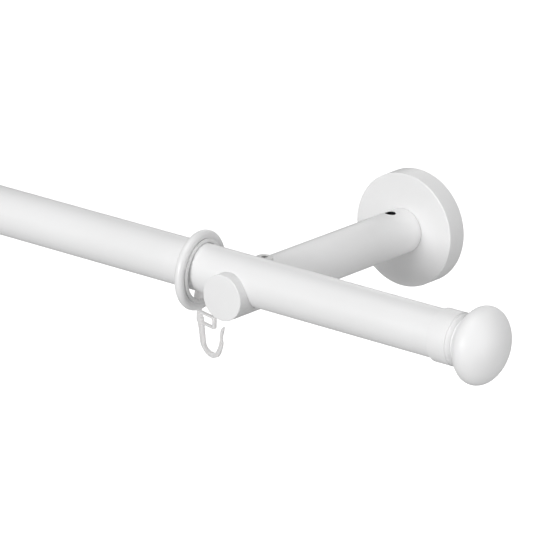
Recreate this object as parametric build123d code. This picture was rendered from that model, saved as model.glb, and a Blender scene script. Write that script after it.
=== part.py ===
from build123d import *
import os

# A round curtain rod on two wall brackets, with a knob at each end and rings with swivel hooks.
# Millimetres. X runs along the rod, +Y points into the wall, +Z is up.
# The origin lies on the wall, midway between the brackets, at the height of the bracket arms.

# Rod
rod_length = 800.0
rod_radius = 10.0
rod_wall = 1.0
rod_edge_break = 0.3
rod_to_wall = 114.8
rod_rise = 4.8

# Bracket: plate, spigot and arm
bracket_inset = 105.0
arm_radius = 9.6
arm_past_rod = 14.2
arm_edge_break = 0.5
saddle_gap = 0.08
plate_radius = 22.0
plate_thickness = 3.0
plate_edge_break = 0.4
wall_hole_radius = 2.3
wall_hole_head_radius = 4.6
wall_hole_spacing = 30.0
spigot_radius = 6.0
spigot_gap = 0.06
spigot_length = 21.5
spigot_edge_break = 0.6
spigot_groove_depth = 1.0
spigot_groove_width = 5.6
arm_bore_depth = 17.0

# Rosette that covers the plate
rosette_radius = 24.5
rosette_depth = 9.7
rosette_front = 2.0
rosette_rim = 1.5
rosette_edge_round = 0.7
rosette_hole_radius = 6.4
rosette_to_arm = 0.1

# Countersunk screw that holds the spigot on its plate
spigot_screw_radius = 2.5
spigot_screw_length = 14.0
spigot_screw_head_radius = 4.8
spigot_screw_head_height = 2.3
spigot_screw_socket_depth = 2.0

# Screws in the arm
thread_gap = 0.05
hex_inradius = 1.25
grub_radius = 2.2
grub_from_wall = 18.8
grub_length = 3.2
grub_sunk = 1.3
grub_socket_depth = 2.0
clamp_behind_rod = 12.7
clamp_seat_height = 4.7
clamp_head_radius = 3.6
clamp_head_height = 1.4
clamp_head_round = 0.3
clamp_seat_radius = 3.9
clamp_shank_radius = 1.75
clamp_length = 10.0
clamp_socket_depth = 2.2
screw_overlap = 0.5

# Knob: skirt over the rod, cove and rounded head, turned about the rod axis
knob_skirt_start = 5.5
knob_skirt_radius = 10.9
knob_skirt_bore = 10.3
knob_bore_depth = 5.7
knob_skirt_length = 8.4
knob_cove_radius = 8.8
knob_cove_at = 10.0
knob_cove_sag = 0.35
knob_bead_radius = 9.5
knob_bead_at = 10.6
knob_head_centre = 18.7
knob_head_radius = 15.85
knob_head_back = 8.4
knob_head_front = 8.8
knob_edge_break = 0.2

# Ribbed plug that holds the knob in the rod, and the screw through it
plug_core_radius = 8.0
plug_rib_radius = 8.95
plug_rib_width = 1.6
plug_rib_count = 8
plug_length = 22.0
plug_nose_chamfer = 0.7
plug_screw_radius = 2.0
plug_screw_reach = 10.0
plug_head_radius = 3.8
plug_head_height = 2.4
plug_head_recess = 3.0
plug_socket_depth = 1.6
plug_hole_gap = 0.1

# Rings
ring_count = 5
ring_from_bracket = 22.85
ring_yaw = 5.0
ring_wire_radius = 2.0
ring_centreline = 14.7
ring_pin_hole_radius = 1.18

# Glide liner inside each ring
liner_inner_radius = 11.7
liner_outer_radius = 13.3
liner_width = 4.6
liner_gap = 0.05
liner_slot_width = 2.7
liner_slot_half_angle = 29.0

# Swivel hook, drawn in its own plane: across, and up from the ring centre
hook_turn = -15.0
hook_thickness = 1.8
hook_tip_thickness = 1.1
hook_taper_start = 7.0
hook_pin_radius = 1.1
hook_pin_overlap = 0.6
hook_head_radius = 2.4
hook_head_nose_radius = 2.0
hook_head_bottom = 11.3
hook_head_top = 8.7
hook_top = 17.0
hook_eye_left = -0.9
hook_eye_right = 11.2
hook_eye_bottom = 22.1
hook_eye_round = 0.8
hook_eye_hole_left = 1.6
hook_eye_hole_right = 10.0
hook_eye_hole_top = 17.9
hook_eye_hole_bottom = 21.2
hook_eye_hole_round = 0.5
hook_edge_break = 0.2
hook_outer = [
    (-0.9, -17.8), (0.0, -21.8), (1.1, -25.4), (2.1, -29.8), (3.7, -32.1), (6.5, -33.7), (9.8, -34.5),
    (12.6, -33.7), (14.5, -32.0), (15.9, -29.2), (16.6, -26.7), (16.0, -24.3), (17.0, -21.0), (17.1, -19.2),
]
hook_inner = [
    (15.8, -20.5), (15.1, -23.4), (15.2, -25.2), (14.5, -27.9), (13.5, -29.9), (12.4, -31.4), (10.0, -32.4),
    (6.4, -32.0), (4.5, -30.6), (3.8, -28.4), (3.0, -24.3), (2.2, -19.6),
]

# How far a cut runs past the face it opens
overcut = 1.0

rod_y = -rod_to_wall
bracket_x = rod_length / 2 - bracket_inset
arm_front = rod_y - arm_past_rod
arm_back = -rosette_depth - rosette_to_arm
ring_z = rod_rise - (liner_inner_radius - rod_radius - liner_gap)
along_x = Rotation(0, 90, 0)
into_wall = Rotation(-90, 0, 0)


def bar_x(radius, start, end, y=0.0, z=0.0):
    """A round bar along X from start to end."""
    middle = (start + end) / 2
    return Pos(middle, y, z) * along_x * Cylinder(radius, end - start)


def bar_y(radius, start, end, x=0.0, z=0.0):
    """A round bar along Y from start to end."""
    middle = (start + end) / 2
    return Pos(x, middle, z) * into_wall * Cylinder(radius, end - start)


def bar_z(radius, start, end, x=0.0, y=0.0):
    """A round bar along Z from start to end."""
    middle = (start + end) / 2
    return Pos(x, y, middle) * Cylinder(radius, end - start)


def hex_socket(top, depth):
    """The hexagonal hollow of a socket screw, sunk from height top."""
    outline = RegularPolygon(hex_inradius, 6, major_radius=False)
    return Pos(0, 0, top - depth) * extrude(outline, amount=depth)


def make_rod():
    """The tube, with its outer end edges broken."""
    half = rod_length / 2
    tube = bar_x(rod_radius, -half, half)
    tube = chamfer(tube.edges(), rod_edge_break)
    tube -= bar_x(rod_radius - rod_wall, -half - overcut, half + overcut)
    return Pos(0, rod_y, rod_rise) * tube


def make_plate():
    """The round wall plate with two screw holes and a sunk hole for the spigot screw."""
    plate = bar_y(plate_radius, -plate_thickness, 0)
    plate = chamfer(plate.faces().sort_by(Axis.Y)[0].edges(), plate_edge_break)
    for side in (-1, 1):
        x = side * wall_hole_spacing / 2
        plate -= bar_y(wall_hole_radius, -plate_thickness - overcut, overcut, x)
        depth = wall_hole_head_radius - wall_hole_radius
        sink = Cone(wall_hole_radius, wall_hole_head_radius, depth)
        plate -= Pos(x, depth / 2 - plate_thickness, 0) * Rotation(90, 0, 0) * sink
    plate -= bar_y(spigot_screw_radius + thread_gap, -plate_thickness - overcut, overcut)
    plate -= screw_head(spigot_screw_head_radius + thread_gap)
    return plate


def screw_head(radius):
    """The countersunk head of the spigot screw, its flat top in the wall face."""
    head = Cone(spigot_screw_radius, radius, spigot_screw_head_height)
    return Pos(0, -spigot_screw_head_height / 2, 0) * into_wall * head


def make_spigot():
    """The stub that carries the arm, grooved for the grub screw and tapped from behind."""
    start = -plate_thickness - spigot_length
    spigot = bar_y(spigot_radius, start, -plate_thickness)
    spigot = chamfer(spigot.faces().sort_by(Axis.Y)[0].edges(), spigot_edge_break)
    half_groove = spigot_groove_width / 2
    groove_start = -grub_from_wall - half_groove
    groove_end = -grub_from_wall + half_groove
    groove = bar_y(spigot_radius + overcut, groove_start, groove_end)
    groove -= bar_y(spigot_radius - spigot_groove_depth, groove_start, groove_end)
    spigot -= groove
    hole_end = -spigot_screw_length - overcut
    spigot -= bar_y(spigot_screw_radius + thread_gap, hole_end, 0)
    return spigot


def make_spigot_screw():
    """The countersunk screw from behind, with its socket open towards the wall."""
    screw = screw_head(spigot_screw_head_radius)
    screw += bar_y(spigot_screw_radius, -spigot_screw_length, -spigot_screw_head_height / 2)
    socket = hex_socket(0, spigot_screw_socket_depth)
    return screw - into_wall * socket


def make_rosette():
    """The cup that hides the plate, holed for the spigot."""
    cup = bar_y(rosette_radius, -rosette_depth, 0)
    cup = fillet(cup.faces().sort_by(Axis.Y)[0].edges(), rosette_edge_round)
    cup -= bar_y(rosette_radius - rosette_rim, rosette_front - rosette_depth, overcut)
    cup -= bar_y(rosette_hole_radius, -rosette_depth - overcut, overcut)
    return cup


def make_arm():
    """The round arm with the open saddle for the rod, a bore for the spigot and two screw holes."""
    arm = bar_y(arm_radius, arm_front, arm_back)
    arm = fillet(arm.faces().sort_by(Axis.Y)[0].edges(), arm_edge_break)
    reach = arm_radius + overcut
    arm -= bar_x(rod_radius + saddle_gap, -reach, reach, rod_y, rod_rise)
    arm -= bar_y(spigot_radius + spigot_gap, arm_back - arm_bore_depth, overcut + arm_back)
    arm -= bar_z(grub_radius + thread_gap, 0, reach, 0, -grub_from_wall)
    seat = rod_rise + clamp_seat_height
    screw_y = rod_y + clamp_behind_rod
    arm -= bar_z(clamp_seat_radius, seat, seat + clamp_head_height + overcut, 0, screw_y)
    arm -= bar_z(clamp_shank_radius + thread_gap, seat - clamp_length - overcut, seat + overcut, 0, screw_y)
    return arm


def make_grub_screw():
    """The headless screw that locks the arm on the spigot."""
    top = arm_radius - grub_sunk
    screw = bar_z(grub_radius, top - grub_length, top)
    screw = chamfer(screw.edges(), rod_edge_break)
    screw -= hex_socket(top, grub_socket_depth)
    return Pos(0, -grub_from_wall, 0) * screw


def make_clamp_screw():
    """The headed screw whose rim bears on the shoulder of the rod."""
    seat = clamp_seat_height + saddle_gap / 2
    top = seat + clamp_head_height
    head = bar_z(clamp_head_radius, seat, top)
    head = fillet(head.faces().sort_by(Axis.Z)[-1].edges(), clamp_head_round)
    screw = head + bar_z(clamp_shank_radius, clamp_seat_height - clamp_length, seat + screw_overlap)
    screw -= hex_socket(top, clamp_socket_depth)
    return Pos(0, rod_y + clamp_behind_rod, rod_rise) * screw


def make_knob():
    """The turned end knob. X is measured from the start of the skirt."""
    skirt = Polyline(
        (knob_head_centre, 0),
        (knob_bore_depth, 0),
        (knob_bore_depth, knob_skirt_bore),
        (0, knob_skirt_bore),
        (0, knob_skirt_radius - knob_edge_break),
        (knob_edge_break, knob_skirt_radius),
        (knob_skirt_length, knob_skirt_radius),
    )
    cove = SagittaArc(
        (knob_skirt_length, knob_skirt_radius),
        (knob_cove_at, knob_cove_radius),
        knob_cove_sag,
    )
    bead = Polyline(
        (knob_cove_at, knob_cove_radius),
        (knob_bead_at, knob_bead_radius),
        (knob_head_centre, knob_bead_radius),
        (knob_head_centre, 0),
    )
    neck = revolve(make_face(skirt + cove + bead), Axis.X)
    knob = neck + make_knob_head()
    hole_end = knob_bore_depth + plug_screw_reach + overcut
    return knob - bar_x(plug_screw_radius + thread_gap, knob_bore_depth - overcut, hole_end)


def make_knob_head():
    """The rounded head: a short half ellipse at the back and a longer one in front."""
    back = EllipticalCenterArc((0, 0), knob_head_back, knob_head_radius, 90, arc_size=90)
    front = EllipticalCenterArc((0, 0), knob_head_front, knob_head_radius, 0, arc_size=90)
    base = Line((-knob_head_back, 0), (knob_head_front, 0))
    head = revolve(make_face(back + front + base), Axis.X)
    return Pos(knob_head_centre, 0, 0) * head


def make_plug():
    """The ribbed plug. Its flange end is at the floor of the knob's bore."""
    start = knob_bore_depth - plug_length
    plug = bar_x(plug_core_radius, start, knob_bore_depth)
    rib_middle = (plug_core_radius - overcut + plug_rib_radius) / 2
    rib_height = plug_rib_radius - plug_core_radius + overcut
    for index in range(plug_rib_count):
        rib = Box(plug_length, plug_rib_width, rib_height)
        rib = Pos(start + plug_length / 2, 0, rib_middle) * rib
        plug += Rotation(index * 360 / plug_rib_count, 0, 0) * rib
    nose = bar_x(plug_rib_radius, start, knob_bore_depth)
    plug &= chamfer(nose.faces().sort_by(Axis.X)[0].edges(), plug_nose_chamfer)
    plug -= bar_x(plug_screw_radius + plug_hole_gap, start - overcut, knob_bore_depth + overcut)
    plug -= bar_x(plug_head_radius + plug_hole_gap, start - overcut, start + plug_head_recess)
    return plug


def make_plug_screw():
    """The screw through the plug into the knob, its socket facing back along the rod."""
    seat = knob_bore_depth - plug_length + plug_head_recess
    head = bar_x(plug_head_radius, seat - plug_head_height, seat)
    screw = head + bar_x(plug_screw_radius, seat - screw_overlap, knob_bore_depth + plug_screw_reach)
    socket = Rotation(0, -90, 0) * hex_socket(0, plug_socket_depth)
    return screw - Pos(seat - plug_head_height, 0, 0) * socket


def make_ring():
    """The round-wire ring about the origin, a little askew on the rod, with a hole for the pin."""
    ring = along_x * Torus(ring_centreline, ring_wire_radius)
    ring -= bar_z(ring_pin_hole_radius, -hook_top, -hook_head_top)
    return Rotation(0, 0, ring_yaw) * ring


def make_liner():
    """The glide liner: a grooved band that hugs the wire, slotted at the bottom for the pin."""
    half = liner_width / 2
    liner = bar_x(liner_outer_radius, -half, half) - bar_x(liner_inner_radius, -half, half)
    liner -= along_x * Torus(ring_centreline, ring_wire_radius + liner_gap)
    slot = bar_x(ring_centreline, -liner_slot_width / 2, liner_slot_width / 2)
    reach = 2 * ring_centreline
    for side in (-1, 1):
        turn = side * (90 - liner_slot_half_angle)
        keep = Pos(0, 0, reach / 2) * Box(liner_width, 3 * reach, reach)
        slot -= Rotation(turn, 0, 0) * keep
    return Rotation(0, 0, ring_yaw) * (liner - slot)


def make_hook():
    """The swivel hook in the XZ plane: head, pin, eye and open hook. Z is from the ring centre."""
    head_height = hook_head_bottom - hook_head_top
    head = Cone(hook_head_radius, hook_head_nose_radius, head_height)
    head = chamfer(head.faces().sort_by(Axis.Z)[-1].edges(), hook_edge_break)
    head = Pos(0, 0, -hook_head_bottom + head_height / 2) * head
    pin = bar_z(hook_pin_radius, -hook_top - hook_pin_overlap, -hook_head_bottom + hook_pin_overlap)
    flat = Plane.XZ * (make_hook_eye() + make_hook_curve())
    frame = extrude(flat, amount=hook_thickness / 2, both=True)
    faces = frame.faces().filter_by(Axis.Y)
    frame = chamfer([edge for face in faces for edge in face.edges()], hook_edge_break)
    frame &= make_hook_wedge()
    return Rotation(0, 0, hook_turn) * (head + pin + frame)


def make_hook_wedge():
    """The block that thins the frame towards the tip."""
    left = hook_eye_left - overcut
    right = hook_outer[-1][0] + overcut
    half = hook_thickness / 2
    tip = hook_tip_thickness / 2
    outline = Polyline(
        (left, -half),
        (hook_taper_start, -half),
        (right, -tip),
        (right, tip),
        (hook_taper_start, half),
        (left, half),
        close=True,
    )
    depth = -min(point[1] for point in hook_outer) + overcut
    return Pos(0, 0, -depth) * extrude(make_face(outline), amount=depth)


def make_hook_eye():
    """The closed eye under the ring, as a flat outline."""
    width = hook_eye_right - hook_eye_left
    height = hook_eye_bottom - hook_top
    middle = ((hook_eye_left + hook_eye_right) / 2, -(hook_top + hook_eye_bottom) / 2)
    eye = Pos(*middle) * RectangleRounded(width, height, hook_eye_round)
    width = hook_eye_hole_right - hook_eye_hole_left
    height = hook_eye_hole_bottom - hook_eye_hole_top
    middle = (
        (hook_eye_hole_left + hook_eye_hole_right) / 2,
        -(hook_eye_hole_top + hook_eye_hole_bottom) / 2,
    )
    return eye - Pos(*middle) * RectangleRounded(width, height, hook_eye_hole_round)


def make_hook_curve():
    """The sloping spine, the bend and the rising tip with its barb, as a flat outline."""
    outer = Spline(*hook_outer)
    inner = Spline(*hook_inner)
    tip = Line(hook_outer[-1], hook_inner[0])
    root = Line(hook_inner[-1], hook_outer[0])
    return make_face(outer + tip + inner + root)


def place_right(solid):
    """Puts a bracket piece at the right-hand bracket."""
    return Pos(bracket_x, 0, 0) * solid


def place_knob(solid):
    """Puts a piece of the right-hand knob on the end of the rod."""
    return Pos(rod_length / 2 - knob_skirt_start, rod_y, rod_rise) * solid


def place_ring(solid, index):
    """Puts a ring piece at its place along the rod, counted from the left."""
    outer = bracket_x - ring_from_bracket
    pitch = 2 * outer / (ring_count - 1)
    return Pos(index * pitch - outer, rod_y, ring_z) * solid


def save(solid, name):
    """Writes one piece as its own file."""
    export_step(solid, os.path.join("parts", name + ".step"))


bracket_makers = {
    "wall_plate": make_plate,
    "spigot": make_spigot,
    "spigot_screw": make_spigot_screw,
    "rosette": make_rosette,
    "arm": make_arm,
    "arm_grub_screw": make_grub_screw,
    "rod_clamp_screw": make_clamp_screw,
}
knob_makers = {
    "end_knob": make_knob,
    "knob_plug": make_plug,
    "knob_screw": make_plug_screw,
}
ring_makers = {
    "ring": make_ring,
    "ring_liner": make_liner,
    "swivel_hook": make_hook,
}

os.makedirs("parts", exist_ok=True)
save(make_rod(), "rod_tube")
for name, make in bracket_makers.items():
    piece = place_right(make())
    save(piece, "right_" + name)
    save(mirror(piece, Plane.YZ), "left_" + name)
for name, make in knob_makers.items():
    piece = place_knob(make())
    save(piece, "right_" + name)
    save(mirror(piece, Plane.YZ), "left_" + name)
for name, make in ring_makers.items():
    piece = make()
    for index in range(ring_count):
        save(place_ring(piece, index), f"{name}_{index + 1}")
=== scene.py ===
from math import cos, pi, radians, sin, sqrt

import bmesh
import bpy
from mathutils import Matrix, Vector


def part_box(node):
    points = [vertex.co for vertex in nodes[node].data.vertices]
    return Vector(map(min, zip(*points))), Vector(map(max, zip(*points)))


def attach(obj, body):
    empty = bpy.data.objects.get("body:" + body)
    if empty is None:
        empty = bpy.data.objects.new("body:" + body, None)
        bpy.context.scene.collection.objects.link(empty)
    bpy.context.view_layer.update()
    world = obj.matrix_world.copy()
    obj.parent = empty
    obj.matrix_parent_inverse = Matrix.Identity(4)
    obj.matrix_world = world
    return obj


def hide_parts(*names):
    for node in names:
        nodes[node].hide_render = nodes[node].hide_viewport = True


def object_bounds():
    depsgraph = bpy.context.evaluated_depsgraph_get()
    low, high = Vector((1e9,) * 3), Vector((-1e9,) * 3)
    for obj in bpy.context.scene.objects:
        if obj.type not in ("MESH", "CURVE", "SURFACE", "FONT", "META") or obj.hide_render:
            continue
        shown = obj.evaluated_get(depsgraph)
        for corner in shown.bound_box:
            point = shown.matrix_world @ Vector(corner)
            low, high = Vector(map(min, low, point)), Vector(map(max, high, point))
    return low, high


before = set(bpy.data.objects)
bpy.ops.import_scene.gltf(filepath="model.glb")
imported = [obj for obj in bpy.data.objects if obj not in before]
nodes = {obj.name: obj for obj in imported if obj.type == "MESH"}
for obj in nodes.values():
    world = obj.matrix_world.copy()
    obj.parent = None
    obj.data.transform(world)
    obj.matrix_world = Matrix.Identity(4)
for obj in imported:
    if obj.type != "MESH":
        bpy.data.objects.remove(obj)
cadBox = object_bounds()
mm = 0.001
sides = {"right": 1, "left": -1}
ringNames = sorted(name for name in nodes if name.startswith("ring_") and not name.startswith("ring_liner"))
print("frame loaded:", len(nodes), "nodes,", len(ringNames), "rings")


# places read from the frame

def boxOf(name):
    low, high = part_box(name)
    return Vector(low), Vector(high)


def middleOf(name):
    low, high = boxOf(name)
    return (low + high) / 2


rodLow, rodHigh = boxOf("rod_tube")
rodAxis = (rodLow + rodHigh) / 2
rodRadius = (rodHigh.z - rodLow.z) / 2
rodEnd = rodHigh.x
bracketX = middleOf("right_arm").x


# general mesh tools

def softOutline(corners, steps=5):
    # corners are (along, out, rounding); a rounding of 0 stays sharp
    outline = []
    count = len(corners)
    for i, (a, r, rounding) in enumerate(corners):
        here = Vector((a, r))
        if rounding <= 0 or i in (0, count - 1):
            outline.append(here)
            continue
        before = Vector(corners[i - 1][:2]) - here
        after = Vector(corners[i + 1][:2]) - here
        reach = min(rounding, before.length * 0.48, after.length * 0.48)
        start = here + before.normalized() * reach
        stop = here + after.normalized() * reach
        for k in range(steps + 1):
            t = k / steps
            outline.append(start * (1 - t) ** 2 + here * 2 * t * (1 - t) + stop * t ** 2)
    return [(p.x, p.y) for p in outline]


def spinPoint(axis, along, out, angle):
    c, s = out * cos(angle), out * sin(angle)
    if axis == "X":
        return Vector((along, c, s))
    if axis == "Y":
        return Vector((s, along, c))
    return Vector((c, s, along))


def spinMesh(outline, axis="X", segments=128, closed=False, bm=None):
    # turns an outline of (along, out) points about an axis through the origin
    bm = bm or bmesh.new()
    loops = []
    for along, out in outline:
        if out < 1e-7:
            loops.append([bm.verts.new(spinPoint(axis, along, 0, 0))])
        else:
            loops.append([bm.verts.new(spinPoint(axis, along, out, 2 * pi * k / segments))
                          for k in range(segments)])
    pairs = list(zip(loops, loops[1:]))
    if closed:
        pairs.append((loops[-1], loops[0]))
    for first, second in pairs:
        for k in range(segments):
            n = (k + 1) % segments
            if len(first) == 1 and len(second) == 1:
                continue
            if len(first) == 1:
                bm.faces.new((first[0], second[n], second[k]))
            elif len(second) == 1:
                bm.faces.new((first[k], first[n], second[0]))
            else:
                bm.faces.new((first[k], first[n], second[n], second[k]))
    bmesh.ops.recalc_face_normals(bm, faces=bm.faces)
    return bm


def meshObject(name, bm, sharp=35):
    mesh = bpy.data.meshes.new(name)
    bmesh.ops.recalc_face_normals(bm, faces=bm.faces)
    bm.to_mesh(mesh)
    bm.free()
    mesh.shade_smooth()
    mesh.set_sharp_from_angle(angle=radians(sharp))
    obj = bpy.data.objects.new(name, mesh)
    bpy.context.scene.collection.objects.link(obj)
    return obj


def bakeModifiers(obj, sharp=35):
    # leaves the finished mesh and no modifiers
    depsgraph = bpy.context.evaluated_depsgraph_get()
    mesh = bpy.data.meshes.new_from_object(obj.evaluated_get(depsgraph))
    obj.modifiers.clear()
    old = obj.data
    obj.data = mesh
    mesh.name = old.name
    bpy.data.meshes.remove(old)
    if sharp:
        mesh.shade_smooth()
        mesh.set_sharp_from_angle(angle=radians(sharp))
    return obj


def cutAway(obj, cutters):
    for cutter in cutters:
        cut = obj.modifiers.new("cut", "BOOLEAN")
        cut.operation = "DIFFERENCE"
        cut.solver = "EXACT"
        cut.object = cutter
    bakeModifiers(obj)
    for cutter in cutters:
        mesh = cutter.data
        bpy.data.objects.remove(cutter)
        bpy.data.meshes.remove(mesh)
    return obj


def softenEdges(obj, width, segments=3, angle=32):
    bevel = obj.modifiers.new("soft edges", "BEVEL")
    bevel.width = width
    bevel.segments = segments
    bevel.limit_method = "ANGLE"
    bevel.angle_limit = radians(angle)
    bevel.harden_normals = True
    bevel.miter_outer = "MITER_ARC"
    return bakeModifiers(obj, sharp=0)


def rodCutter(axis, radius, start, stop, centre, segments=96):
    bm = spinMesh([(start, 0), (start, radius), (stop, radius), (stop, 0)], axis, segments)
    bmesh.ops.translate(bm, verts=bm.verts, vec=centre)
    return meshObject("cutter", bm)


def hexCutter(across, top, depth, matrix):
    # a hexagonal socket with a drilled point at its bottom
    radius = across / 2 / cos(pi / 6)
    bottom = top - depth
    outline = [(bottom - radius * 0.5, 0), (bottom, radius), (top + depth, radius), (top + depth, 0)]
    bm = spinMesh(outline, "Z", 6)
    bmesh.ops.transform(bm, matrix=matrix, verts=bm.verts)
    return meshObject("cutter", bm)


def threadMesh(radius, pitch, depth, start, stop, perTurn=48, perPitch=8):
    # a solid bar along Z with a real helical thread, run out at both ends
    bm = bmesh.new()
    rows = max(2, int((stop - start) / pitch * perPitch))
    loops = []
    for row in range(rows + 1):
        z = start + (stop - start) * row / rows
        fade = min(1, (z - start) / pitch, (stop - z) / pitch)
        loop = []
        for k in range(perTurn):
            phase = (z / pitch - k / perTurn) % 1
            crest = 1 - abs(2 * phase - 1)
            out = radius - depth * (1 - min(1, crest * 1.35) * max(0, fade))
            loop.append(bm.verts.new(spinPoint("Z", z, out, 2 * pi * k / perTurn)))
        loops.append(loop)
    for first, second in zip(loops, loops[1:]):
        for k in range(perTurn):
            n = (k + 1) % perTurn
            bm.faces.new((first[k], first[n], second[n], second[k]))
    bm.faces.new(list(reversed(loops[0])))
    bm.faces.new(loops[-1])
    return bm


def fitPiece(obj, body, material, slotName, *replaced):
    obj.data.materials.clear()
    obj.data.materials.append(material)
    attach(obj, body)
    if replaced:
        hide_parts(*replaced)
    return obj


# materials

def startMaterial(name):
    material = bpy.data.materials.new(name)
    material.use_nodes = True
    tree = material.node_tree
    shader = tree.nodes["Principled BSDF"]
    return material, tree, shader


def addNode(tree, kind, **settings):
    node = tree.nodes.new(kind)
    for key, value in settings.items():
        setattr(node, key, value)
    return node


def noiseOf(tree, place, scale, detail=3, roughness=0.5, stretch=None):
    source = place
    if stretch:
        mapping = addNode(tree, "ShaderNodeMapping")
        mapping.inputs["Scale"].default_value = stretch
        tree.links.new(place, mapping.inputs["Vector"])
        source = mapping.outputs["Vector"]
    noise = addNode(tree, "ShaderNodeTexNoise")
    noise.inputs["Scale"].default_value = scale
    noise.inputs["Detail"].default_value = detail
    noise.inputs["Roughness"].default_value = roughness
    tree.links.new(source, noise.inputs["Vector"])
    return noise.outputs["Fac"]


def spread(tree, value, low, high, fromLow=0.3, fromHigh=0.7):
    ranger = addNode(tree, "ShaderNodeMapRange")
    ranger.inputs["From Min"].default_value = fromLow
    ranger.inputs["From Max"].default_value = fromHigh
    ranger.inputs["To Min"].default_value = low
    ranger.inputs["To Max"].default_value = high
    tree.links.new(value, ranger.inputs["Value"])
    return ranger.outputs["Result"]


def blendColours(tree, factor, first, second):
    mix = addNode(tree, "ShaderNodeMix", data_type="RGBA")
    mix.inputs["A"].default_value = (*first, 1)
    mix.inputs["B"].default_value = (*second, 1)
    tree.links.new(factor, mix.inputs["Factor"])
    return mix.outputs["Result"]


def bumpOf(tree, height, strength, distance, below=None):
    bump = addNode(tree, "ShaderNodeBump")
    bump.inputs["Strength"].default_value = strength
    bump.inputs["Distance"].default_value = distance
    tree.links.new(height, bump.inputs["Height"])
    if below:
        tree.links.new(below, bump.inputs["Normal"])
    return bump.outputs["Normal"]


def satinPaint(name, look):
    # powder coat: faint orange peel, finer grit, and slow drifts of tone and gloss
    material, tree, shader = startMaterial(name)
    place = addNode(tree, "ShaderNodeTexCoord").outputs["Object"]
    drift = noiseOf(tree, place, look["driftScale"], 4, 0.55)
    peel = noiseOf(tree, place, look["peelScale"], 2, 0.5)
    grit = noiseOf(tree, place, look["gritScale"], 3, 0.65)
    tone = blendColours(tree, spread(tree, drift, 0, 1), look["colour"], look["shade"])
    tree.links.new(tone, shader.inputs["Base Color"])
    low, high = look["roughness"]
    tree.links.new(spread(tree, drift, high, low), shader.inputs["Roughness"])
    fine = bumpOf(tree, grit, look["gritBump"], 0.01 * mm)
    tree.links.new(bumpOf(tree, peel, look["peelBump"], 0.03 * mm, fine), shader.inputs["Normal"])
    shader.inputs["IOR"].default_value = 1.5
    shader.inputs["Coat Weight"].default_value = look["coat"]
    shader.inputs["Coat Roughness"].default_value = look["coatRoughness"]
    return material


paintLooks = {
    "rodPaint": {"colour": (0.86, 0.86, 0.862), "shade": (0.835, 0.835, 0.836), "driftScale": 22,
                 "peelScale": 650, "gritScale": 5200, "peelBump": 0.35, "gritBump": 0.25,
                 "roughness": (0.34, 0.44), "coat": 0.15, "coatRoughness": 0.25},
    "bracketPaint": {"colour": (0.86, 0.86, 0.862), "shade": (0.83, 0.83, 0.83), "driftScale": 40,
                     "peelScale": 800, "gritScale": 5600, "peelBump": 0.35, "gritBump": 0.3,
                     "roughness": (0.38, 0.5), "coat": 0.1, "coatRoughness": 0.3},
    "knobPaint": {"colour": (0.87, 0.87, 0.872), "shade": (0.855, 0.855, 0.856), "driftScale": 55,
                  "peelScale": 700, "gritScale": 5400, "peelBump": 0.25, "gritBump": 0.2,
                  "roughness": (0.4, 0.5), "coat": 0.08, "coatRoughness": 0.3},
    "ringPaint": {"colour": (0.86, 0.86, 0.862), "shade": (0.835, 0.835, 0.836), "driftScale": 90,
                  "peelScale": 900, "gritScale": 6000, "peelBump": 0.3, "gritBump": 0.25,
                  "roughness": (0.34, 0.44), "coat": 0.15, "coatRoughness": 0.25},
    "screwPaint": {"colour": (0.74, 0.74, 0.735), "shade": (0.66, 0.66, 0.65), "driftScale": 240,
                   "peelScale": 1500, "gritScale": 8000, "peelBump": 0.4, "gritBump": 0.4,
                   "roughness": (0.36, 0.5), "coat": 0.1, "coatRoughness": 0.3},
}
paints = {name: satinPaint(name, look) for name, look in paintLooks.items()}

# the hook's glow entry is painted light: it makes the hook shine on its own, and its base colour is set low
# to make room for it
hookLook = {"colour": (0.52, 0.516, 0.516), "deep": (0.46, 0.456, 0.456), "roughness": (0.24, 0.38),
            "scatter": 0.5, "scatterRadius": (2.4 * mm, 2.2 * mm, 2.1 * mm), "paintedGlow": 0.24}
linerLook = {"colour": (0.88, 0.88, 0.878), "deep": (0.84, 0.84, 0.838), "roughness": (0.4, 0.52)}
nylonLook = {"colour": (0.66, 0.655, 0.63), "deep": (0.58, 0.575, 0.55), "roughness": (0.35, 0.5)}
oxideLook = {"metal": 0.6, "colour": (0.035, 0.035, 0.038),
             "blue": (0.022, 0.023, 0.028), "roughness": (0.3, 0.5)}
zincLook = {"metal": 1, "colour": (0.58, 0.59, 0.60), "blue": (0.50, 0.53, 0.58), "roughness": (0.24, 0.42)}


def mouldedPlastic(name, look):
    # flow marks from the mould, a fine matt texture, a little light let in through subsurface scatter, and
    # on the hook a painted glow that lifts its shaded parts
    material, tree, shader = startMaterial(name)
    place = addNode(tree, "ShaderNodeTexCoord").outputs["Object"]
    flow = noiseOf(tree, place, 320, 4, 0.6, (1, 1, 0.35))
    skin = noiseOf(tree, place, 4200, 3, 0.6)
    tree.links.new(blendColours(tree, spread(tree, flow, 0, 1), look["colour"], look["deep"]),
                   shader.inputs["Base Color"])
    low, high = look["roughness"]
    tree.links.new(spread(tree, flow, low, high), shader.inputs["Roughness"])
    waves = bumpOf(tree, flow, 0.3, 0.04 * mm)
    tree.links.new(bumpOf(tree, skin, 0.25, 0.01 * mm, waves), shader.inputs["Normal"])
    if "scatter" in look:
        shader.inputs["Subsurface Weight"].default_value = look["scatter"]
        shader.inputs["Subsurface Radius"].default_value = look["scatterRadius"]
        shader.inputs["Subsurface Scale"].default_value = 1
        # painted light: the hook glows on its own, standing in for light that passes through thin plastic
        # into its shaded parts
        shader.inputs["Emission Color"].default_value = (1, 0.99, 0.99, 1)
        shader.inputs["Emission Strength"].default_value = look["paintedGlow"]
    return material


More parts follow.
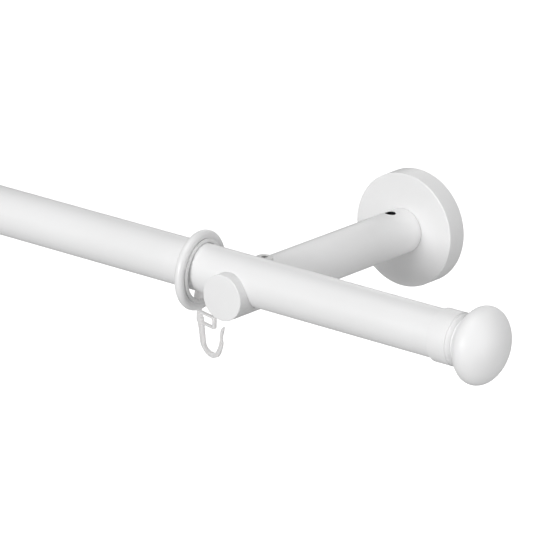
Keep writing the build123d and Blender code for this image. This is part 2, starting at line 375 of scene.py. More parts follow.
def treatedSteel(name, look):
    # surface treatment with a cloudy tint, rolling lines and small handling scuffs
    material, tree, shader = startMaterial(name)
    place = addNode(tree, "ShaderNodeTexCoord").outputs["Object"]
    cloud = noiseOf(tree, place, 160, 4, 0.6)
    lines = noiseOf(tree, place, 1400, 3, 0.6, (0.06, 1, 1))
    scuff = noiseOf(tree, place, 700, 5, 0.7)
    tree.links.new(blendColours(tree, spread(tree, cloud, 0, 1), look["colour"], look["blue"]),
                   shader.inputs["Base Color"])
    low, high = look["roughness"]
    tree.links.new(spread(tree, scuff, low, high), shader.inputs["Roughness"])
    rolled = bumpOf(tree, lines, 0.3, 0.015 * mm)
    tree.links.new(bumpOf(tree, scuff, 0.15, 0.03 * mm, rolled), shader.inputs["Normal"])
    shader.inputs["Metallic"].default_value = look["metal"]
    return material


hookPlastic = mouldedPlastic("hookPlastic", hookLook)
linerPlastic = mouldedPlastic("linerPlastic", linerLook)
plugNylon = mouldedPlastic("plugNylon", nylonLook)
zincSteel = treatedSteel("zincSteel", zincLook)
# the black steel is the grub screw's own black oxide, and it is also laid inside holes as painted shade
blackSteelAndHoleShade = treatedSteel("blackSteelAndHoleShade", oxideLook)
print("materials made")


# rod: a drawn tube with its cut ends broken

rodTube = {"wall": 1.0 * mm, "endBreak": 0.3 * mm, "segments": 192}


def makeRod(spec):
    half = (rodHigh.x - rodLow.x) / 2
    inner = rodRadius - spec["wall"]
    rounding = spec["endBreak"]
    corners = [(-half + 8 * mm, inner, 0), (-half, inner, rounding), (-half, rodRadius, rounding),
               (half, rodRadius, rounding), (half, inner, rounding), (half - 8 * mm, inner, 0)]
    outline = softOutline(corners)
    bm = spinMesh(outline, "X", spec["segments"], closed=True)
    bmesh.ops.translate(bm, verts=bm.verts, vec=rodAxis)
    return meshObject("rodTube", bm)


fitPiece(makeRod(rodTube), "rod", paints["rodPaint"], "rod_paint", "rod_tube")
print("rod made")


# bracket: plate, spigot and screw from behind, rosette, arm, grub screw, clamp screw

plateLook = {"edge": 0.5 * mm, "holeRadius": 2.3 * mm, "sinkRadius": 4.6 * mm, "centreHole": 2.55 * mm,
             "headRadius": 4.85 * mm, "headDepth": 2.3 * mm, "holeOut": 15 * mm, "softEdge": 0.12 * mm}
spigotLook = {"nose": 0.7 * mm, "grooveDepth": 1.0 * mm, "grooveWidth": 5.6 * mm, "hole": 2.55 * mm,
              "holeDepth": 12 * mm}
spigotScrewLook = {"radius": 2.5 * mm, "pitch": 0.8 * mm, "thread": 0.4 * mm, "headDepth": 2.3 * mm,
                   "neck": 2.4 * mm, "hex": 3 * mm, "socket": 1.6 * mm}
rosetteLook = {"front": 2.0 * mm, "rim": 1.5 * mm, "edge": 0.6 * mm, "hole": 6.4 * mm, "inner": 0.8 * mm}
armLook = {"frontEdge": 0.55 * mm, "backEdge": 0.25 * mm, "saddleGap": 0.08 * mm, "boreRadius": 6.06 * mm,
           "boreDepth": 17 * mm, "softEdge": 0.16 * mm, "clampBehind": 12.7 * mm, "seatHeight": 4.7 * mm,
           "seatRadius": 3.9 * mm, "clampHole": 1.8 * mm, "clampDepth": 11 * mm, "grubHole": 2.25 * mm}
grubLook = {"radius": 2.2 * mm, "pitch": 0.8 * mm, "thread": 0.32 * mm, "hex": 2.5 * mm, "socket": 1.9 * mm}
clampLook = {"headRadius": 3.6 * mm, "headHeight": 1.4 * mm, "headRound": 0.35 * mm, "shank": 1.75 * mm,
             "pitch": 0.6 * mm, "thread": 0.25 * mm, "hex": 2.5 * mm, "socket": 2.1 * mm}


def placed(bm, where):
    bmesh.ops.translate(bm, verts=bm.verts, vec=where)
    return bm


def makePlate(side, spec):
    low, high = boxOf(side + "_wall_plate")
    centre = (low + high) / 2
    radius = (high.x - low.x) / 2
    corners = [(low.y, 0, 0), (low.y, radius, spec["edge"]), (high.y, radius, spec["edge"] * 0.4),
               (high.y, 0, 0)]
    bm = spinMesh(softOutline(corners), "Y", 144)
    plate = meshObject(side + "WallPlate", placed(bm, (centre.x, 0, centre.z)))
    over = 1 * mm
    cutters = [rodCutter("Y", spec["centreHole"], low.y - over, high.y + over, (centre.x, 0, centre.z), 64)]
    head = [(high.y - spec["headDepth"], 0), (high.y - spec["headDepth"], spec["centreHole"] * 0.98),
            (high.y, spec["headRadius"]), (high.y + over, spec["headRadius"]), (high.y + over, 0)]
    cutters.append(meshObject("cutter", placed(spinMesh(head, "Y", 64), (centre.x, 0, centre.z))))
    sink = spec["sinkRadius"] - spec["holeRadius"]
    for way in (-1, 1):
        spot = (centre.x + way * spec["holeOut"], 0, centre.z)
        hole = [(low.y - over, 0), (low.y - over, spec["sinkRadius"]), (low.y, spec["sinkRadius"]),
                (low.y + sink, spec["holeRadius"]), (high.y + over, spec["holeRadius"]), (high.y + over, 0)]
        cutters.append(meshObject("cutter", placed(spinMesh(hole, "Y", 64), spot)))
    cutAway(plate, cutters)
    return softenEdges(plate, spec["softEdge"], 2)


def makeSpigot(side, spec):
    low, high = boxOf(side + "_spigot")
    radius = (high.x - low.x) / 2
    grubY = middleOf(side + "_arm_grub_screw").y
    start, stop = grubY - spec["grooveWidth"] / 2, grubY + spec["grooveWidth"] / 2
    shallow = radius - spec["grooveDepth"]
    holeEnd = high.y - spec["holeDepth"]
    corners = [(low.y, 0, 0), (low.y, radius, spec["nose"]), (start, radius, 0.15 * mm),
               (start, shallow, 0.2 * mm), (stop, shallow, 0.2 * mm), (stop, radius, 0.15 * mm),
               (high.y, radius, 0.2 * mm), (high.y, spec["hole"], 0.3 * mm), (holeEnd, spec["hole"], 0),
               (holeEnd - spec["hole"] * 0.6, 0, 0)]
    bm = spinMesh(softOutline(corners), "Y", 96)
    centre = (low + high) / 2
    return meshObject(side + "Spigot", placed(bm, (centre.x, 0, centre.z)))


def makeSpigotScrew(side, spec):
    low, high = boxOf(side + "_spigot_screw")
    centre = (low + high) / 2
    head = (high.x - low.x) / 2
    length = high.y - low.y
    under = length - spec["headDepth"]
    bm = threadMesh(spec["radius"], spec["pitch"], spec["thread"], 0, under + 0.3 * mm)
    cone = softOutline([(under, 0, 0), (under, spec["neck"], 0), (length - 0.15 * mm, head, 0.1 * mm),
                        (length, head, 0.1 * mm), (length, 0, 0)])
    spinMesh(cone, "Z", 72, bm=bm)
    turn = Matrix.Translation((centre.x, low.y, centre.z)) @ Matrix.Rotation(radians(-90), 4, "X")
    bmesh.ops.transform(bm, matrix=turn, verts=bm.verts)
    screw = meshObject(side + "SpigotScrew", bm)
    return cutAway(screw, [hexCutter(spec["hex"], length, spec["socket"], turn)])


def makeRosette(side, spec):
    low, high = boxOf(side + "_rosette")
    centre = (low + high) / 2
    radius = (high.x - low.x) / 2
    inner = radius - spec["rim"]
    shelf = low.y + spec["front"]
    corners = [(shelf, spec["hole"], 0), (low.y, spec["hole"], 0.3 * mm), (low.y, radius, spec["edge"]),
               (high.y, radius, 0.25 * mm), (high.y, inner, 0.25 * mm), (shelf, inner, spec["inner"]),
               (shelf, spec["hole"] + 1 * mm, 0)]
    bm = spinMesh(softOutline(corners, 7), "Y", 224, closed=True)
    return meshObject(side + "Rosette", placed(bm, (centre.x, 0, centre.z)))


def makeArm(side, spec):
    low, high = boxOf(side + "_arm")
    centre = (low + high) / 2
    radius = (high.x - low.x) / 2
    over = 1 * mm
    corners = [(low.y, 0, 0), (low.y, radius, spec["frontEdge"]), (high.y, radius, spec["backEdge"]),
               (high.y, 0, 0)]
    bm = spinMesh(softOutline(corners, 6), "Y", 224)
    arm = meshObject(side + "Arm", placed(bm, (centre.x, 0, centre.z)))
    saddle = rodRadius + spec["saddleGap"]
    clampY = rodAxis.y + spec["clampBehind"]
    seatZ = rodAxis.z + spec["seatHeight"]
    grubY = middleOf(side + "_arm_grub_screw").y
    top = high.z + over
    boreEnd = high.y - spec["boreDepth"]
    cutters = [
        rodCutter("X", saddle, -radius - over, radius + over, (centre.x, rodAxis.y, rodAxis.z), 256),
        rodCutter("Y", spec["boreRadius"], boreEnd, high.y + over, (centre.x, 0, centre.z), 96),
        rodCutter("Z", spec["seatRadius"], seatZ, top, (centre.x, clampY, 0), 96),
        rodCutter("Z", spec["clampHole"], seatZ - spec["clampDepth"], top, (centre.x, clampY, 0), 64),
        rodCutter("Z", spec["grubHole"], centre.z, top, (centre.x, grubY, 0), 64),
    ]
    cutAway(arm, cutters)
    return softenEdges(arm, spec["softEdge"])


def paintShadeInside(obj, hole, radius, bottom, top, material):
    # painted shade: the faces inside a hole are given the near-black steel finish, standing in for the
    # shade that falls deep in the hole
    obj.data.materials.append(material)
    for face in obj.data.polygons:
        away = sqrt((face.center.x - hole.x) ** 2 + (face.center.y - hole.y) ** 2)
        if away < radius and bottom < face.center.z < top:
            face.material_index = 1


def makeGrubScrew(side, spec):
    low, high = boxOf(side + "_arm_grub_screw")
    centre = (low + high) / 2
    bm = threadMesh(spec["radius"], spec["pitch"], spec["thread"], low.z, high.z)
    turn = Matrix.Translation((centre.x, centre.y, 0))
    bmesh.ops.transform(bm, matrix=turn, verts=bm.verts)
    screw = meshObject(side + "GrubScrew", bm)
    cutAway(screw, [hexCutter(spec["hex"], high.z, spec["socket"], turn)])
    return screw


def makeClampScrew(side, spec):
    low, high = boxOf(side + "_rod_clamp_screw")
    centre = (low + high) / 2
    seat = high.z - spec["headHeight"]
    bm = threadMesh(spec["shank"], spec["pitch"], spec["thread"], low.z, seat + 0.4 * mm)
    corners = [(seat, 0, 0), (seat, spec["headRadius"], 0.1 * mm),
               (high.z, spec["headRadius"], spec["headRound"]), (high.z, 0, 0)]
    spinMesh(softOutline(corners), "Z", 96, bm=bm)
    turn = Matrix.Translation((centre.x, centre.y, 0))
    bmesh.ops.transform(bm, matrix=turn, verts=bm.verts)
    screw = meshObject(side + "ClampScrew", bm)
    cutAway(screw, [hexCutter(spec["hex"], high.z, spec["socket"], turn)])
    return softenEdges(screw, 0.08 * mm, 2, 50)


bracketPaint = paints["bracketPaint"]
for side in sides:
    fitPiece(makePlate(side, plateLook), "mounting", zincSteel, "plate_steel", side + "_wall_plate")
    fitPiece(makeSpigot(side, spigotLook), "mounting", zincSteel, "plate_steel", side + "_spigot")
    spigotScrew = makeSpigotScrew(side, spigotScrewLook)
    fitPiece(spigotScrew, "mounting", zincSteel, "screw_steel", side + "_spigot_screw")
    fitPiece(makeRosette(side, rosetteLook), "mounting", bracketPaint, "bracket_paint", side + "_rosette")
    armName, grubName, clampName = side + "_arm", side + "_arm_grub_screw", side + "_rod_clamp_screw"
    arm = fitPiece(makeArm(side, armLook), "mounting", bracketPaint, "bracket_paint", armName)
    grubPlace = middleOf(grubName)
    # painted shade: the inside of the grub screw hole above the screw is turned near-black
    paintShadeInside(arm, grubPlace, armLook["grubHole"] * 1.01, grubPlace.z, boxOf(armName)[1].z, blackSteelAndHoleShade)
    fitPiece(makeGrubScrew(side, grubLook), side + "_grub", blackSteelAndHoleShade, "grub_steel", grubName)
    clamp = fitPiece(makeClampScrew(side, clampLook), side + "_clamp", paints["screwPaint"], "screw_white",
                     clampName)
    clampTop = boxOf(clampName)[1].z
    # painted shade: the hex socket of the clamp screw is turned near-black
    paintShadeInside(clamp, middleOf(clampName), clampLook["hex"] * 0.6,
                 clampTop - clampLook["socket"] * 1.5, clampTop - 0.15 * mm, blackSteelAndHoleShade)
print("brackets made")


# knob: skirt, cove, bead and rounded head in one turned piece, with its plug and screw

knobLook = {"bore": 10.3 * mm, "boreDepth": 5.7 * mm, "skirt": 10.9 * mm, "skirtLength": 8.4 * mm,
            "coveRadius": 8.8 * mm, "coveAt": 10.0 * mm, "beadRadius": 9.5 * mm, "beadAt": 10.6 * mm,
            "headAt": 18.7 * mm, "headRadius": 15.85 * mm, "headBack": 8.4 * mm, "headFront": 8.8 * mm,
            "pilot": 2.05 * mm, "pilotDepth": 10.9 * mm, "lip": 0.2 * mm}
plugLook = {"core": 8.0 * mm, "ribRadius": 8.95 * mm, "ribs": 8, "ribWidth": 1.6 * mm, "hole": 2.1 * mm,
            "recess": 3.9 * mm, "recessDepth": 3.0 * mm}
knobScrewLook = {"radius": 2.0 * mm, "pitch": 0.7 * mm, "thread": 0.35 * mm, "headHeight": 2.4 * mm,
                 "headRound": 0.6 * mm, "hex": 2.5 * mm, "socket": 1.5 * mm}


def knobOutline(spec):
    outline = softOutline([(spec["boreDepth"], spec["pilot"], 0),
                           (spec["boreDepth"], spec["bore"], 0.3 * mm),
                           (0, spec["bore"], 0.12 * mm), (0, spec["skirt"], spec["lip"]),
                           (spec["skirtLength"], spec["skirt"], 0.25 * mm),
                           (spec["skirtLength"] + 0.25 * mm, spec["skirt"] - 0.5 * mm, 0)], 4)
    # the cove runs down from the skirt to its lowest ring
    startA, startR = outline[-1]
    for k in range(1, 13):
        t = k / 12
        outline.append((startA + (spec["coveAt"] - startA) * sin(t * pi / 2),
                        startR + (spec["coveRadius"] - startR) * (1 - cos(t * pi / 2)) ** 0.7))
    outline += softOutline([(spec["coveAt"], spec["coveRadius"] + 0.02 * mm, 0),
                            (spec["beadAt"], spec["beadRadius"], 0.15 * mm),
                            (spec["beadAt"] + 0.55 * mm, spec["beadRadius"], 0.1 * mm)], 3)[1:]
    # the back of the head rises from the bead, the front closes on the axis
    steps = 40
    fromAngle = spec["beadRadius"] / spec["headRadius"]
    for k in range(steps + 1):
        r = spec["headRadius"] * sin((pi / 2) * (fromAngle + (1 - fromAngle) * k / steps))
        a = spec["headAt"] - spec["headBack"] * sqrt(max(0, 1 - (r / spec["headRadius"]) ** 2))
        if a > outline[-1][0] and r > outline[-1][1] - 0.3 * mm:
            outline.append((a, r))
    for k in range(1, steps + 1):
        angle = pi / 2 * k / steps
        outline.append((spec["headAt"] + spec["headFront"] * sin(angle), spec["headRadius"] * cos(angle)))
    outline[-1] = (spec["headAt"] + spec["headFront"], 0)
    pilotEnd = spec["boreDepth"] + spec["pilotDepth"]
    pilot = [(pilotEnd, 0), (pilotEnd - spec["pilot"] * 0.6, spec["pilot"])]
    return pilot + outline


def makeKnob(side, spec):
    low, high = boxOf(side + "_end_knob")
    bm = spinMesh(knobOutline(spec), "X", 192)
    return meshObject(side + "Knob", faceOut(bm, side, low, high))


def faceOut(bm, side, low, high):
    # from the knob's own X to its end of the rod
    if sides[side] < 0:
        bmesh.ops.scale(bm, vec=(-1, 1, 1), verts=bm.verts)
        bmesh.ops.translate(bm, verts=bm.verts, vec=(high.x, rodAxis.y, rodAxis.z))
    else:
        bmesh.ops.translate(bm, verts=bm.verts, vec=(low.x, rodAxis.y, rodAxis.z))
    return bm


def makePlug(side, spec):
    low, high = boxOf(side + "_knob_plug")
    length = high.x - low.x
    bm = bmesh.new()
    across = 240
    stations = [(0, 0.9), (0.9 * mm, 1), (length - 0.4 * mm, 1), (length, 0.985)]
    half = spec["ribWidth"] / 2 / spec["ribRadius"]
    ribHeight = spec["ribRadius"] - spec["core"]
    loops = []
    for along, swell in stations:
        loop = []
        for k in range(across):
            angle = 2 * pi * k / across
            nearest = abs((angle * spec["ribs"] / (2 * pi) + 0.5) % 1 - 0.5) * 2 * pi / spec["ribs"]
            rise = max(0, min(1, (half * 1.6 - nearest) / (half * 0.6)))
            out = min(spec["core"] + ribHeight * rise * (3 - 2 * rise), spec["ribRadius"])
            loop.append(bm.verts.new(spinPoint("X", along, out * swell, angle)))
        loops.append(loop)
    for first, second in zip(loops, loops[1:]):
        for k in range(across):
            n = (k + 1) % across
            bm.faces.new((first[k], first[n], second[n], second[k]))
    bm.faces.new(list(reversed(loops[0])))
    bm.faces.new(loops[-1])
    plug = meshObject(side + "KnobPlug", faceOut(bm, side, low, high))
    start, stop = low.x, high.x
    centre = (0, rodAxis.y, rodAxis.z)
    over = 1 * mm
    if sides[side] > 0:
        recess = rodCutter("X", spec["recess"], start - over, start + spec["recessDepth"], centre, 64)
    else:
        recess = rodCutter("X", spec["recess"], stop - spec["recessDepth"], stop + over, centre, 64)
    cutAway(plug, [recess, rodCutter("X", spec["hole"], start - over, stop + over, centre, 48)])
    return softenEdges(plug, 0.12 * mm, 2, 50)


def makeKnobScrew(side, spec):
    low, high = boxOf(side + "_knob_screw")
    head = (high.z - low.z) / 2
    length = high.x - low.x
    headHeight = spec["headHeight"]
    bm = threadMesh(spec["radius"], spec["pitch"], spec["thread"], headHeight - 0.3 * mm, length)
    corners = [(0, 0, 0), (0, head, spec["headRound"]), (headHeight, head, 0.1 * mm), (headHeight, 0, 0)]
    spinMesh(softOutline(corners), "Z", 72, bm=bm)
    socket = Matrix.Rotation(radians(180), 4, "X")
    inner = low.x if sides[side] > 0 else high.x
    lie = Matrix.Rotation(radians(90 * sides[side]), 4, "Y")
    turn = Matrix.Translation((inner, rodAxis.y, rodAxis.z)) @ lie
    bmesh.ops.transform(bm, matrix=turn, verts=bm.verts)
    screw = meshObject(side + "KnobScrew", bm)
    return cutAway(screw, [hexCutter(spec["hex"], 0, spec["socket"], turn @ socket)])


for side in sides:
    body = side + "_knob"
    fitPiece(makeKnob(side, knobLook), body, paints["knobPaint"], "knob_paint", side + "_end_knob")
    fitPiece(makePlug(side, plugLook), body, plugNylon, "plug_plastic", side + "_knob_plug")
    fitPiece(makeKnobScrew(side, knobScrewLook), body, zincSteel, "screw_steel", side + "_knob_screw")
print("knobs made")


# rings: round wire, a grooved glide liner and a moulded swivel hook, one shared mesh of each

ringLook = {"wire": 2.0 * mm, "centreline": 14.7 * mm, "hole": 1.18 * mm, "yaw": 5.0}
linerShape = {"inner": 11.7 * mm, "outer": 13.3 * mm, "width": 4.6 * mm, "gap": 0.05 * mm,
              "slotWidth": 2.7 * mm, "slotHalfAngle": 29}


def makeRingMesh(spec):
    bm = bmesh.new()
    around, across = 176, 36
    wire = spec["wire"]
    angles = [2 * pi * k / across for k in range(across)]
    outline = [(wire * sin(angle), spec["centreline"] + wire * cos(angle)) for angle in angles]
    spinMesh(outline, "X", around, closed=True, bm=bm)
    ring = meshObject("ringWire", bm)
    reach = spec["centreline"] + 3 * mm
    cutAway(ring, [rodCutter("Z", spec["hole"], -reach, -spec["centreline"] + 3 * mm, (0, 0, 0), 40)])
    softenEdges(ring, 0.1 * mm, 2, 45)
    ring.data.transform(Matrix.Rotation(radians(spec["yaw"]), 4, "Z"))
    return ring


def makeLinerMesh(spec):
    half = spec["width"] / 2
    seat = ringLook["wire"] + spec["gap"]
    lip = sqrt(seat ** 2 - (ringLook["centreline"] - spec["outer"]) ** 2)
    corners = [(0, spec["inner"], 0), (half, spec["inner"], 0.35 * mm), (half, spec["outer"], 0.2 * mm),
               (lip, spec["outer"], 0.08 * mm)]
    right = softOutline(corners, 4)
    groove = []
    for k in range(1, 10):
        # the groove follows the wire from lip to lip
        x = lip * (1 - k / 5)
        groove.append((x, ringLook["centreline"] - sqrt(max(0, seat ** 2 - x ** 2))))
    left = [(-a, r) for a, r in reversed(right[1:])]
    bm = spinMesh(right + groove + left, "X", 160, closed=True)
    liner = meshObject("ringLiner", bm)
    cutAway(liner, [slotCutter(spec)])
    softenEdges(liner, 0.06 * mm, 2, 50)
    liner.data.transform(Matrix.Rotation(radians(ringLook["yaw"]), 4, "Z"))
    return liner


def slotCutter(spec):
    # a curved block through the bottom of the liner
    bm = bmesh.new()
    half = spec["slotWidth"] / 2
    steps = 24
    loops = []
    for k in range(steps + 1):
        angle = radians(-90 + spec["slotHalfAngle"] * (2 * k / steps - 1))
        loop = []
        for x, r in ((-half, spec["inner"] - 1 * mm), (half, spec["inner"] - 1 * mm),
                     (half, spec["outer"] + 1 * mm), (-half, spec["outer"] + 1 * mm)):
            loop.append(bm.verts.new((x, r * cos(angle), r * sin(angle))))
        loops.append(loop)
    for first, second in zip(loops, loops[1:]):
        for i in range(4):
            j = (i + 1) % 4
            bm.faces.new((first[i], first[j], second[j], second[i]))
    bm.faces.new(list(reversed(loops[0])))
    bm.faces.new(loops[-1])
    return meshObject("cutter", bm)


# the hook is drawn in its own upright plane: across, and up from the ring's centre
hookShape = {"turn": -15, "thickness": 1.8 * mm, "tipThickness": 1.1 * mm, "taperStart": 7.0 * mm,
             "pin": 1.1 * mm, "headRadius": 2.4 * mm, "nose": 2.0 * mm, "headTop": 8.7 * mm,
             "headBottom": 11.3 * mm,
             "outer": [(-0.9, -17.8), (0.0, -21.8), (1.1, -25.4), (2.1, -29.8), (3.7, -32.1),
                       (6.5, -33.7), (9.8, -34.45), (12.6, -33.7), (14.5, -32.0), (15.9, -29.2),
                       (16.55, -26.7), (16.0, -24.3), (17.0, -21.0), (17.1, -19.2)],
             "inner": [(15.8, -20.5), (15.1, -23.4), (15.2, -25.2), (14.5, -27.9), (13.5, -29.9),
                       (12.4, -31.4), (10.0, -32.4), (6.4, -32.0), (4.5, -30.6), (3.8, -28.4),
                       (3.0, -24.3), (2.2, -19.6)],
             "eye": (-0.9, 11.2, -17.0, -22.1), "eyeHole": (1.6, 10.0, -17.9, -21.2),
             "eyeRound": 0.8 * mm, "holeRound": 0.5 * mm, "eyeStep": 0.03 * mm, "softEdge": 0.24 * mm}


def smoothPath(points, per=12):
    # a Catmull-Rom curve through the points
    path = []
    points = [Vector(p) for p in points]
    pts = [points[0], *points, points[-1]]
    for i in range(1, len(pts) - 2):
        p0, p1, p2, p3 = pts[i - 1:i + 3]
        for k in range(per):
            t = k / per
            path.append(0.5 * ((2 * p1) + (p2 - p0) * t + (2 * p0 - 5 * p1 + 4 * p2 - p3) * t * t
                               + (3 * p1 - p0 - 3 * p2 + p3) * t ** 3))
    path.append(points[-1])
    return path


def slabOf(outline, depth):
    # a flat plate in the XZ plane
    bm = bmesh.new()
    front = [bm.verts.new((x, -depth / 2, z)) for x, z in outline]
    back = [bm.verts.new((x, depth / 2, z)) for x, z in outline]
    bm.faces.new(front)
    bm.faces.new(list(reversed(back)))
    for i in range(len(outline)):
        j = (i + 1) % len(outline)
        bm.faces.new((front[j], front[i], back[i], back[j]))
    return bm


def frameOf(outer, inner, depth):
    # a flat plate in the XZ plane with a hole through it
    bm = bmesh.new()
    half = depth / 2
    loops = [[bm.verts.new((x, y, z)) for x, z in outline]
             for outline, y in ((outer, -half), (outer, half), (inner, half), (inner, -half))]
    count = len(outer)
    for first, second in zip(loops, loops[1:] + loops[:1]):
        for i in range(count):
            j = (i + 1) % count
            bm.faces.new((first[i], first[j], second[j], second[i]))
    return bm


def roundedLoop(box, rounding, steps=5):
    left, right, top, bottom = (value * mm for value in box)
    loop = []
    corners = [(right - rounding, top - rounding, 0), (left + rounding, top - rounding, 90),
               (left + rounding, bottom + rounding, 180), (right - rounding, bottom + rounding, 270)]
    for cx, cz, start in corners:
        for k in range(steps + 1):
            angle = radians(start + 90 * k / steps)
            loop.append((cx + rounding * cos(angle), cz + rounding * sin(angle)))
    return loop


def makeHookMesh(spec):
    depth = spec["thickness"]
    curve = smoothPath(spec["outer"], 5) + smoothPath(spec["inner"], 5)
    hook = softenEdges(meshObject("swivelHook", slabOf([(p.x * mm, p.y * mm) for p in curve], depth)),
                       spec["softEdge"], 3)
    # the tip is drawn thinner than the shank
    reach = max(v.co.x for v in hook.data.vertices)
    for v in hook.data.vertices:
        along = max(0, (v.co.x - spec["taperStart"]) / (reach - spec["taperStart"]))
        v.co.y *= 1 - along * (1 - spec["tipThickness"] / depth)
    eyeOuter = roundedLoop(spec["eye"], spec["eyeRound"])
    eyeInner = roundedLoop(spec["eyeHole"], spec["holeRound"])
    eye = meshObject("hookEye", frameOf(eyeOuter, eyeInner, depth - 2 * spec["eyeStep"]))
    eyeFrame = softenEdges(eye, spec["softEdge"], 3)
    top = spec["eye"][2] * mm
    pinOutline = softOutline([(top - 0.5 * mm, 0, 0), (top - 0.5 * mm, spec["pin"], 0.2 * mm),
                              (-spec["headBottom"] + 0.3 * mm, spec["pin"], 0),
                              (-spec["headBottom"] + 0.3 * mm, 0, 0)])
    headOutline = softOutline([(-spec["headBottom"] - 0.15 * mm, 0, 0),
                               (-spec["headBottom"] - 0.15 * mm, spec["headRadius"] * 0.6, 0.1 * mm),
                               (-spec["headBottom"] + 0.1 * mm, spec["headRadius"], 0.15 * mm),
                               (-spec["headTop"], spec["nose"], 0.3 * mm), (-spec["headTop"], 0, 0)])
    pin = meshObject("hookPin", spinMesh(pinOutline, "Z", 40))
    head = meshObject("hookHead", spinMesh(headOutline, "Z", 56))
    joinInto(hook, [eyeFrame, pin, head])
    hook.data.transform(Matrix.Rotation(radians(spec["turn"]), 4, "Z"))
    return hook


def joinInto(target, others):
    bm = bmesh.new()
    for obj in [target, *others]:
        bm.from_mesh(obj.data)
    bm.to_mesh(target.data)
    bm.free()
    for obj in others:
        mesh = obj.data
        bpy.data.objects.remove(obj)
        bpy.data.meshes.remove(mesh)
    target.data.shade_smooth()
    target.data.set_sharp_from_angle(angle=radians(40))
    return target


def shareMesh(source, name, where):
    obj = bpy.data.objects.new(name, source.data)
    obj.location = where
    bpy.context.scene.collection.objects.link(obj)
    return obj


ringSource = makeRingMesh(ringLook)
linerSource = makeLinerMesh(linerShape)
hookSource = makeHookMesh(hookShape)
print("ring, liner and hook shapes made:", len(hookSource.data.polygons), "faces in a hook")

ringFinishes = ((ringSource, paints["ringPaint"]), (linerSource, linerPlastic), (hookSource, hookPlastic))
for source, material in ringFinishes:
    source.data.materials.clear()
    source.data.materials.append(material)

for ringName in ringNames:
    number = ringName.split("_")[1]
    centre = middleOf("ring_" + number)
    # the pin hole trims the ring's lowest point, so its height comes from its top
    centre.z = boxOf("ring_" + number)[1].z - ringLook["centreline"] - ringLook["wire"]
    ring = shareMesh(ringSource, "ring" + number, centre)
    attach(ring, f"ring_{number}_body")
    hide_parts("ring_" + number)
    liner = shareMesh(linerSource, "ringLiner" + number, centre)
    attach(liner, f"ring_{number}_slider")
    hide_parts("ring_liner_" + number)
    hook = shareMesh(hookSource, "swivelHook" + number, centre)
    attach(hook, f"hook_{number}_body")
    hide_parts("swivel_hook_" + number)
for source in (ringSource, linerSource, hookSource):
    bpy.data.objects.remove(source)
print("rings placed")


# room: pale floor, soft lights and the camera

room = {"floorDrop": 0.6, "floorSize": 14, "floorColour": (0.9, 0.9, 0.9), "floorGlow": 0.9,
        "worldLight": 0.25}


def makeFloor(spec):
    size = spec["floorSize"]
    bm = bmesh.new()
    bmesh.ops.create_grid(bm, x_segments=8, y_segments=8, size=size / 2)
    floor = meshObject("floor", bm)
    floor.location = (0, 0, cadBox[0][2] - spec["floorDrop"])
    material, tree, shader = startMaterial("floorPaper")
    place = addNode(tree, "ShaderNodeTexCoord").outputs["Object"]
    tone = noiseOf(tree, place, 3, 3)
    shade = tuple(c * 0.99 for c in spec["floorColour"])
    colour = blendColours(tree, spread(tree, tone, 0, 1), spec["floorColour"], shade)
    tree.links.new(colour, shader.inputs["Base Color"])
    shader.inputs["Roughness"].default_value = 0.95
    shader.inputs["Specular IOR Level"].default_value = 0.1
    shader.inputs["Emission Color"].default_value = (1, 1, 1, 1)
    shader.inputs["Emission Strength"].default_value = spec["floorGlow"]
    floor.data.materials.append(material)
    floor.visible_diffuse = False
    floor.visible_glossy = False


def makeWorld(strength):
    world = bpy.data.worlds.new("room")
    bpy.context.scene.world = world
    world.use_nodes = True
    back = world.node_tree.nodes["Background"]
    back.inputs["Color"].default_value = (1, 1, 1, 1)
    back.inputs["Strength"].default_value = strength


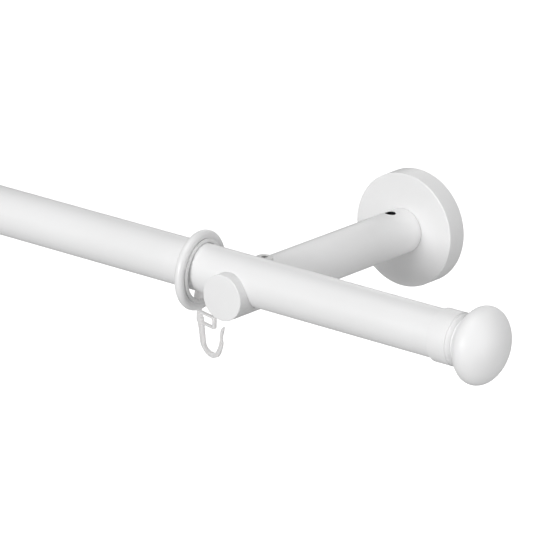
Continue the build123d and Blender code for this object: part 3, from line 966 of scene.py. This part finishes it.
# angles in degrees, azimuth 0 is straight in front, distances and sizes in metres, power in watts
softBoxes = {
    "frontPanel": {"azimuth": 2, "elevation": 13, "distance": 2.4, "size": (1.1, 0.45), "power": 31},
    "topPanel": {"azimuth": 10, "elevation": 75, "distance": 2.0, "size": (1.6, 1.0), "power": 16},
    "backPanel": {"azimuth": 200, "elevation": 22, "distance": 2.4, "size": (1.6, 1.0), "power": 8},
    "sidePanel": {"azimuth": 95, "elevation": 5, "distance": 2.0, "size": (1.2, 0.8), "power": 3},
    "tableBounce": {"azimuth": 0, "elevation": -45, "distance": 0.6, "size": (1.4, 0.5), "power": 1.15},
    "endFill": {"azimuth": 98, "elevation": 0, "distance": 0.5, "size": (0.4, 0.3), "power": 0.95,
                "at": "knob"},
}


def makeLight(name, spec, target):
    light = bpy.data.lights.new(name, "AREA")
    light.shape = "RECTANGLE"
    light.size, light.size_y = spec["size"]
    light.energy = spec["power"]
    lamp = bpy.data.objects.new(name, light)
    bpy.context.scene.collection.objects.link(lamp)
    a, e = radians(spec["azimuth"]), radians(spec["elevation"])
    back = Vector((sin(a) * cos(e), -cos(a) * cos(e), sin(e)))
    lamp.location = target + back * spec["distance"]
    lamp.rotation_euler = back.to_track_quat("Z", "Y").to_euler()


cameraView = {"azimuth": 38.26, "elevation": 18.73, "roll": 1.47, "distance": 1.912, "lens": 308.95,
              "alongRod": 18.28 * mm, "aboveRod": 3.6 * mm}


def makeCamera(spec):
    camera = bpy.data.cameras.new("camera")
    camera.sensor_width = 36
    camera.lens = spec["lens"]
    camera.clip_start, camera.clip_end = 0.05, 50
    obj = bpy.data.objects.new("camera", camera)
    bpy.context.scene.collection.objects.link(obj)
    a, e, roll = (radians(spec[key]) for key in ("azimuth", "elevation", "roll"))
    back = Vector((sin(a) * cos(e), -cos(a) * cos(e), sin(e)))
    right = Vector((cos(a), sin(a), 0))
    up = back.cross(right)
    right, up = right * cos(roll) + up * sin(roll), up * cos(roll) - right * sin(roll)
    target = Vector((bracketX + spec["alongRod"], rodAxis.y, rodAxis.z + spec["aboveRod"]))
    place = Matrix((right, up, back)).transposed().to_4x4()
    place.translation = target + back * spec["distance"]
    obj.matrix_world = place
    bpy.context.scene.camera = obj


makeFloor(room)
makeWorld(room["worldLight"])
makeCamera(cameraView)
targets = {"middle": Vector((bracketX * 0.9, rodAxis.y, rodAxis.z)),
           "knob": Vector((rodEnd, rodAxis.y, rodAxis.z))}
for name, spec in softBoxes.items():
    makeLight(name, spec, targets[spec.get("at", "middle")])
bpy.context.scene.view_settings.view_transform = "Standard"
bpy.context.scene.view_settings.look = "None"
print("room, lights and camera set")
